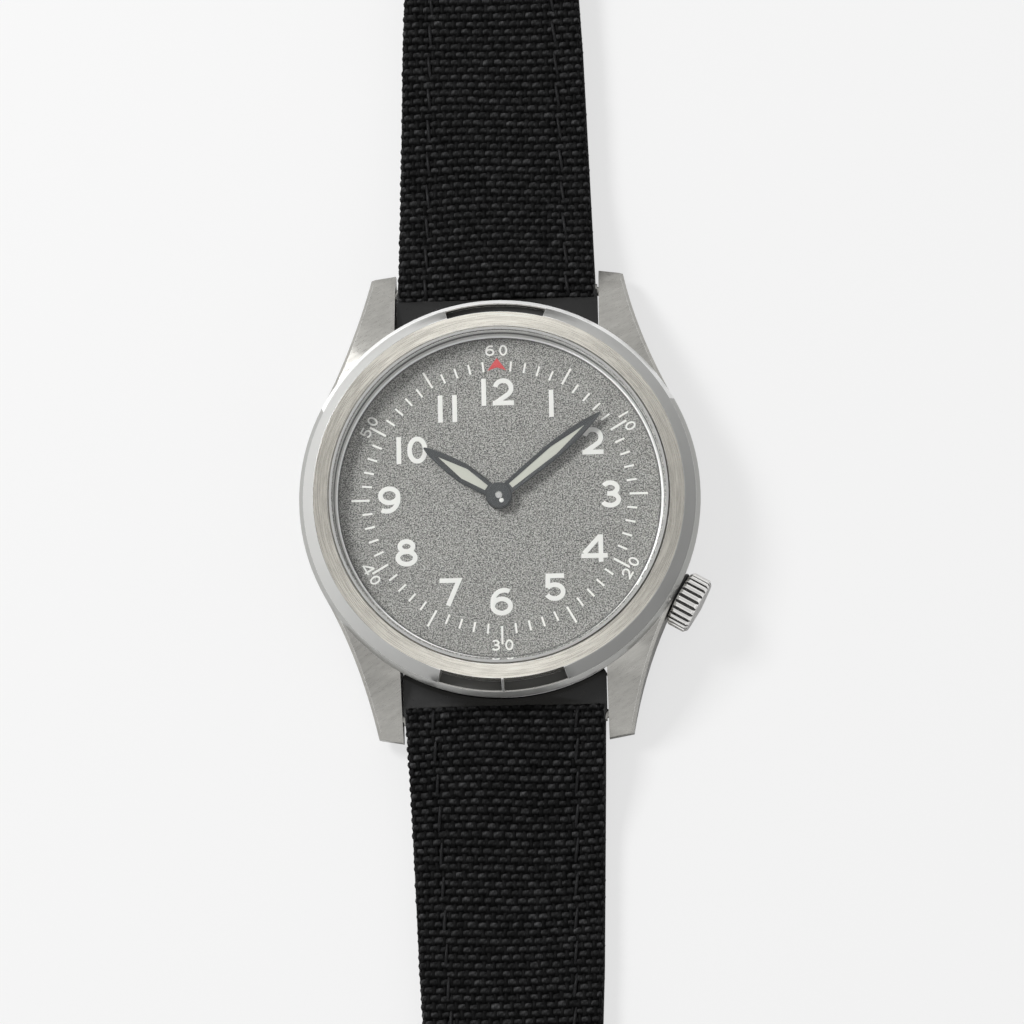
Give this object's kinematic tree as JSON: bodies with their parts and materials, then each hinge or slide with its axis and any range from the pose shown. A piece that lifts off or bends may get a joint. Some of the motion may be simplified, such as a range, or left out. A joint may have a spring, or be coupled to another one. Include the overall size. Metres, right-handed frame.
{
  "type": "field watch",
  "caption": "Round steel field watch with a grained grey dial, two lance hands, crown at 4 o'clock, notched bezel and an open two-piece canvas strap with pin buckle.",
  "frame": {"origin": "centre of the case back's flat outer face, on the dial's axis", "axes": "+Z out of the dial, +Y towards 12 o'clock and the buckle, +X towards 3 o'clock"},
  "size_m": [0.0406, 0.2533, 0.0102],
  "materials": {
    "steel": "fine brushed, bevelled edges polished",
    "polished_steel": "polished",
    "dark_steel": "stamped and deburred",
    "brass": "turned",
    "copper": "lacquered wire",
    "crystal": "clear, domed",
    "white_plastic": "moulded",
    "rubber": "moulded seal",
    "dial_grey": "grained matte grey",
    "hand_slate": "satin dark slate lacquer",
    "lume": "matte off-white luminous filling",
    "canvas": "coarse black woven canvas",
    "filler": "black stiffener",
    "lining": "smooth black coated leather",
    "board": "solder-masked board"
  },
  "bodies": {
    "case": {"mid_case": "steel", "bezel": "steel", "crystal": "crystal", "crystal_gasket": "white_plastic", "inner_ring": "polished_steel", "dial": "dial_grey", "case_back": "steel", "back_gasket": "rubber", "movement_holder": "white_plastic", "main_plate": "brass", "train_bridge": "dark_steel", "circuit_board": "board", "battery": "polished_steel", "battery_clamp": "dark_steel", "stator": "dark_steel", "coil_core": "dark_steel", "coil_winding": "copper", "oscillator": "polished_steel", "bridge_screws": "dark_steel", "crown_tube": "steel", "upper_spring_bar": "steel", "lower_spring_bar": "steel"},
    "minute_hand_set": {"center_wheel": "polished_steel", "cannon_pinion": "polished_steel", "minute_hand": "hand_slate", "minute_lume": "lume"},
    "hour_hand_set": {"hour_wheel": "brass", "hour_hand": "hand_slate", "hour_lume": "lume"},
    "minute_wheel_set": {"minute_wheel": "brass"},
    "third_wheel_set": {"third_wheel": "brass"},
    "step_wheel_set": {"step_wheel": "brass"},
    "rotor_set": {"rotor": "dark_steel"},
    "crown_slider": {"crown_seal": "rubber"},
    "crown_set": {"crown": "polished_steel", "winding_stem": "dark_steel", "clutch_wheel": "dark_steel"},
    "upper_strap": {"upper_canvas": "canvas", "upper_filler": "filler", "upper_lining": "lining", "fixed_keeper": "lining"},
    "keeper_slider": {"free_keeper": "lining"},
    "buckle": {"buckle_frame": "steel", "buckle_bar": "steel"},
    "tongue": {"buckle_tongue": "steel"},
    "lower_strap": {"lower_canvas": "canvas", "lower_filler": "filler", "lower_lining": "lining"},
    "upper_left_pin": {"upper_left_tip": "steel"},
    "upper_right_pin": {"upper_right_tip": "steel"},
    "lower_left_pin": {"lower_left_tip": "steel"},
    "lower_right_pin": {"lower_right_tip": "steel"}
  },
  "joints": [
    {"name": "minute_hand_turn", "type": "hinge", "parent": "case", "child": "minute_hand_set", "pos_m": [0, 0, 0.0078], "axis": [0, 0, -1], "continuous": true},
    {"name": "hour_hand_turn", "type": "hinge", "parent": "case", "child": "hour_hand_set", "pos_m": [0, 0, 0.0073], "axis": [0, 0, -1], "continuous": true},
    {"name": "minute_wheel_turn", "type": "hinge", "parent": "case", "child": "minute_wheel_set", "pos_m": [-0.00185, -0.00221, 0.006], "axis": [0, 0, -1], "continuous": true},
    {"name": "third_wheel_turn", "type": "hinge", "parent": "case", "child": "third_wheel_set", "pos_m": [0.00056, 0.00315, 0.0042], "axis": [0, 0, -1], "continuous": true},
    {"name": "step_wheel_turn", "type": "hinge", "parent": "case", "child": "step_wheel_set", "pos_m": [0.00363, 0.00369, 0.0037], "axis": [0, 0, -1], "continuous": true},
    {"name": "rotor_turn", "type": "hinge", "parent": "case", "child": "rotor_set", "pos_m": [0.00517, 0.00636, 0.0033], "axis": [0, 0, -1], "continuous": true},
    {"name": "crown_pull", "type": "slide", "parent": "case", "child": "crown_slider", "axis": [0.866, -0.5, 0], "range_m": [0, 0.0012]},
    {"name": "crown_turn", "type": "hinge", "parent": "crown_slider", "child": "crown_set", "pos_m": [0.01853, -0.0107, 0.0044], "axis": [0.866, -0.5, 0], "continuous": true},
    {"name": "upper_strap_hinge", "type": "hinge", "parent": "case", "child": "upper_strap", "pos_m": [0, 0.0213, 0.003], "axis": [1, 0, 0], "range_deg": [-85, 45]},
    {"name": "lower_strap_hinge", "type": "hinge", "parent": "case", "child": "lower_strap", "pos_m": [0, -0.0213, 0.003], "axis": [-1, 0, 0], "range_deg": [-85, 45]},
    {"name": "free_keeper_slide", "type": "slide", "parent": "upper_strap", "child": "keeper_slider", "axis": [0, 1, 0], "range_m": [-0.009, 0.0012]},
    {"name": "buckle_hinge", "type": "hinge", "parent": "upper_strap", "child": "buckle", "pos_m": [0, 0.0993, 0.0021], "axis": [1, 0, 0], "range_deg": [-60, 90]},
    {"name": "tongue_hinge", "type": "hinge", "parent": "buckle", "child": "tongue", "pos_m": [0, 0.0993, 0.0021], "axis": [1, 0, 0], "range_deg": [0, 50]},
    {"name": "upper_left_pin_press", "type": "slide", "parent": "case", "child": "upper_left_pin", "axis": [1, 0, 0], "range_m": [0, 0.0008], "stiffness_N_per_m": 300, "springref_m": -0.001},
    {"name": "upper_right_pin_press", "type": "slide", "parent": "case", "child": "upper_right_pin", "axis": [-1, 0, 0], "range_m": [0, 0.0008], "stiffness_N_per_m": 300, "springref_m": -0.001},
    {"name": "lower_left_pin_press", "type": "slide", "parent": "case", "child": "lower_left_pin", "axis": [1, 0, 0], "range_m": [0, 0.0008], "stiffness_N_per_m": 300, "springref_m": -0.001},
    {"name": "lower_right_pin_press", "type": "slide", "parent": "case", "child": "lower_right_pin", "axis": [-1, 0, 0], "range_m": [0, 0.0008], "stiffness_N_per_m": 300, "springref_m": -0.001}
  ],
  "couplings": [
    {"joint": "hour_hand_turn", "follows": "minute_hand_turn", "ratio": 0.083333},
    {"joint": "minute_wheel_turn", "follows": "minute_hand_turn", "ratio": -0.33333},
    {"joint": "third_wheel_turn", "follows": "minute_hand_turn", "ratio": -3},
    {"joint": "step_wheel_turn", "follows": "minute_hand_turn", "ratio": 15},
    {"joint": "rotor_turn", "follows": "minute_hand_turn", "ratio": -90}
  ]
}
